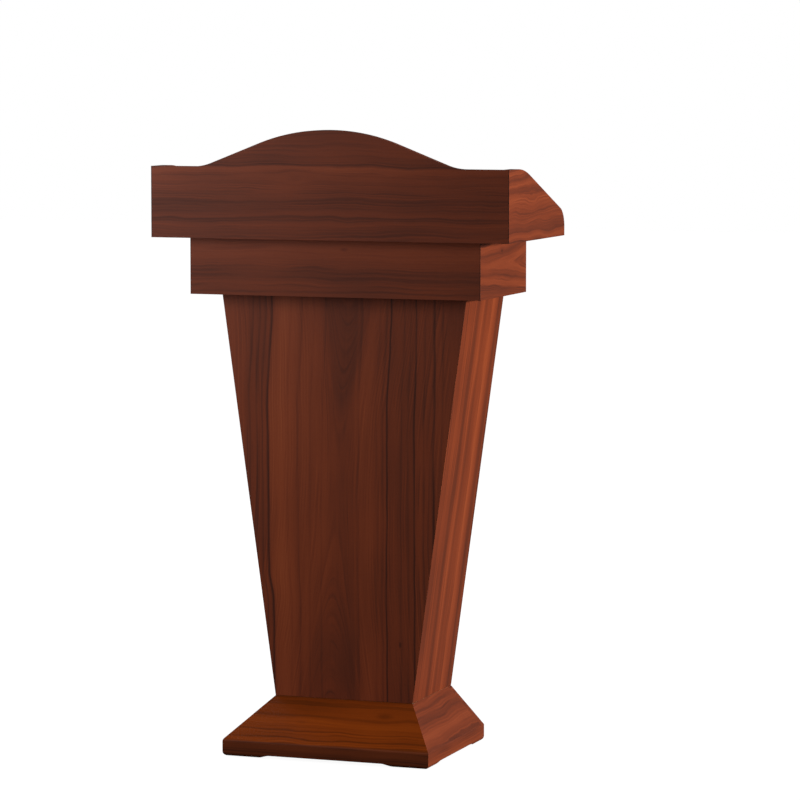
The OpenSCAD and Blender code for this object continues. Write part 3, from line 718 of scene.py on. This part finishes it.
def edge_marker():
    """Welds a board's faces together, and marks its long sharp edges for the bevel."""
    tree = bpy.data.node_groups.new("mark_arrises", "GeometryNodeTree")
    tree.interface.new_socket("Geometry", in_out="INPUT", socket_type="NodeSocketGeometry")
    tree.interface.new_socket("Geometry", in_out="OUTPUT", socket_type="NodeSocketGeometry")

    def step(kind, *values, **settings):
        made = tree.nodes.new(kind)
        for name, value in settings.items():
            setattr(made, name, value)
        feed(made, *values)
        return made

    start = Term(tree, step("NodeGroupInput").outputs[0])
    weld = step("GeometryNodeMergeByDistance", start)
    weld.inputs["Distance"].default_value = WELD
    plain = step("GeometryNodeRemoveAttribute", Term(tree, weld.outputs[0]))
    plain.inputs["Name"].default_value = "custom_normal"
    angle = Term(tree, step("GeometryNodeInputMeshEdgeAngle").outputs["Unsigned Angle"])
    ends = step("GeometryNodeInputMeshEdgeVertices")
    gap = step("ShaderNodeVectorMath", operation="DISTANCE")
    feed(gap, Term(tree, ends.outputs["Position 1"]), Term(tree, ends.outputs["Position 2"]))
    sharp = angle.math("GREATER_THAN", SHARPEST_BLEND)
    long = Term(tree, gap.outputs["Value"]).math("GREATER_THAN", SHORTEST_ARRIS)
    store = step("GeometryNodeStoreNamedAttribute", domain="EDGE", data_type="FLOAT")
    tree.links.new(plain.outputs[0], store.inputs["Geometry"])
    store.inputs["Name"].default_value = "bevel_weight_edge"
    tree.links.new((sharp * long).socket, store.inputs["Value"])
    smooth = step("GeometryNodeSetShadeSmooth", Term(tree, store.outputs[0]))
    edges = step("GeometryNodeSetShadeSmooth", Term(tree, smooth.outputs[0]), domain="EDGE")
    tree.links.new(sharp.socket, edges.inputs["Selection"])
    edges.inputs["Shade Smooth"].default_value = False
    out = step("NodeGroupOutput")
    tree.links.new(edges.outputs[0], out.inputs[0])
    return tree


def arris_skin():
    """The worn edge of a walnut board: the laminate is thin there and rubbed a little darker."""
    made, tree, shader = new_material("walnut_arris")
    wear = noise(spread(object_point(tree), WEAR_RATE), 3.0)
    colour = ramp(wear * 0.9 + 0.34, WALNUT)
    roughness = wear * 0.2 + 0.45
    finish_shader(shader, colour, roughness, wear, depth=0.00005, specular_ior_level=0.16)
    return made


marker = edge_marker()
worn = arris_skin()
for part in frame["record"]["subparts"]:
    mitred = part["node"].startswith("bevel_")    # the slopes of the base meet in mitres, which stay tight
    if mitred or part["material_slot"] not in SOFTENED:
        continue
    board = frame["nodes"][part["node"]]
    marks = board.modifiers.new("mark_arrises", "NODES")
    marks.node_group = marker
    soften = board.modifiers.new("soft_arris", "BEVEL")
    soften.limit_method = "WEIGHT"
    soften.width = ARRIS
    soften.segments = 2
    soften.harden_normals = True
    if part["material_slot"] == "walnut":
        board.data.materials.append(worn)
        soften.material = len(board.data.materials) - 1


# ---------------------------------------------------------------------------
# Floor, room and lamps
# ---------------------------------------------------------------------------


def camera_ray(tree):
    """1 for what the camera sees, and 0 for the light that reaches other surfaces."""
    return Term(tree, tree.nodes.new("ShaderNodeLightPath").outputs["Is Camera Ray"])


def add_floor():
    """A pale floor. It glows for the camera, so it stays white, and takes a faint contact shadow."""
    corners = [(x * FLOOR_HALF, y * FLOOR_HALF, 0) for x, y in ((-1, -1), (1, -1), (1, 1), (-1, 1))]
    mesh = bpy.data.meshes.new("studio_floor")
    mesh.from_pydata(corners, [], [(0, 1, 2, 3)])
    made, tree, shader = new_material("studio_floor")
    x, y = object_point(tree).split()[:2]
    away = (x * x + y * y) ** 0.5
    glow = away.rise(*FAR_GLOW_CLIMB) * (FAR_GLOW - FLOOR_GLOW) + FLOOR_GLOW
    tree.links.new((glow * camera_ray(tree)).socket, shader.inputs["Emission Strength"])
    shader.inputs["Emission Color"].default_value = (1, 1, 1, 1)
    shader.inputs["Base Color"].default_value = (FLOOR_GREY, FLOOR_GREY, FLOOR_GREY, 1)
    shader.inputs["Roughness"].default_value = 0.9
    shader.inputs["Specular IOR Level"].default_value = 0.0
    mesh.materials.append(made)
    add_object("studio_floor", mesh)


def add_room():
    """A white room for the camera, and a dim even light for everything in it."""
    world = bpy.data.worlds.new("studio")
    world.use_nodes = True
    tree = world.node_tree
    background = tree.nodes["Background"]
    background.inputs["Color"].default_value = (1, 1, 1, 1)
    strength = camera_ray(tree) * (1.0 - AMBIENT) + AMBIENT
    tree.links.new(strength.socket, background.inputs["Strength"])
    bpy.context.scene.world = world


for lamp, setting in LAMPS.items():
    add_lamp(lamp, *setting)
add_floor()
add_room()
bpy.context.scene.camera = add_camera()
bpy.context.scene.view_settings.view_transform = "Standard"

bpy.context.view_layer.update()
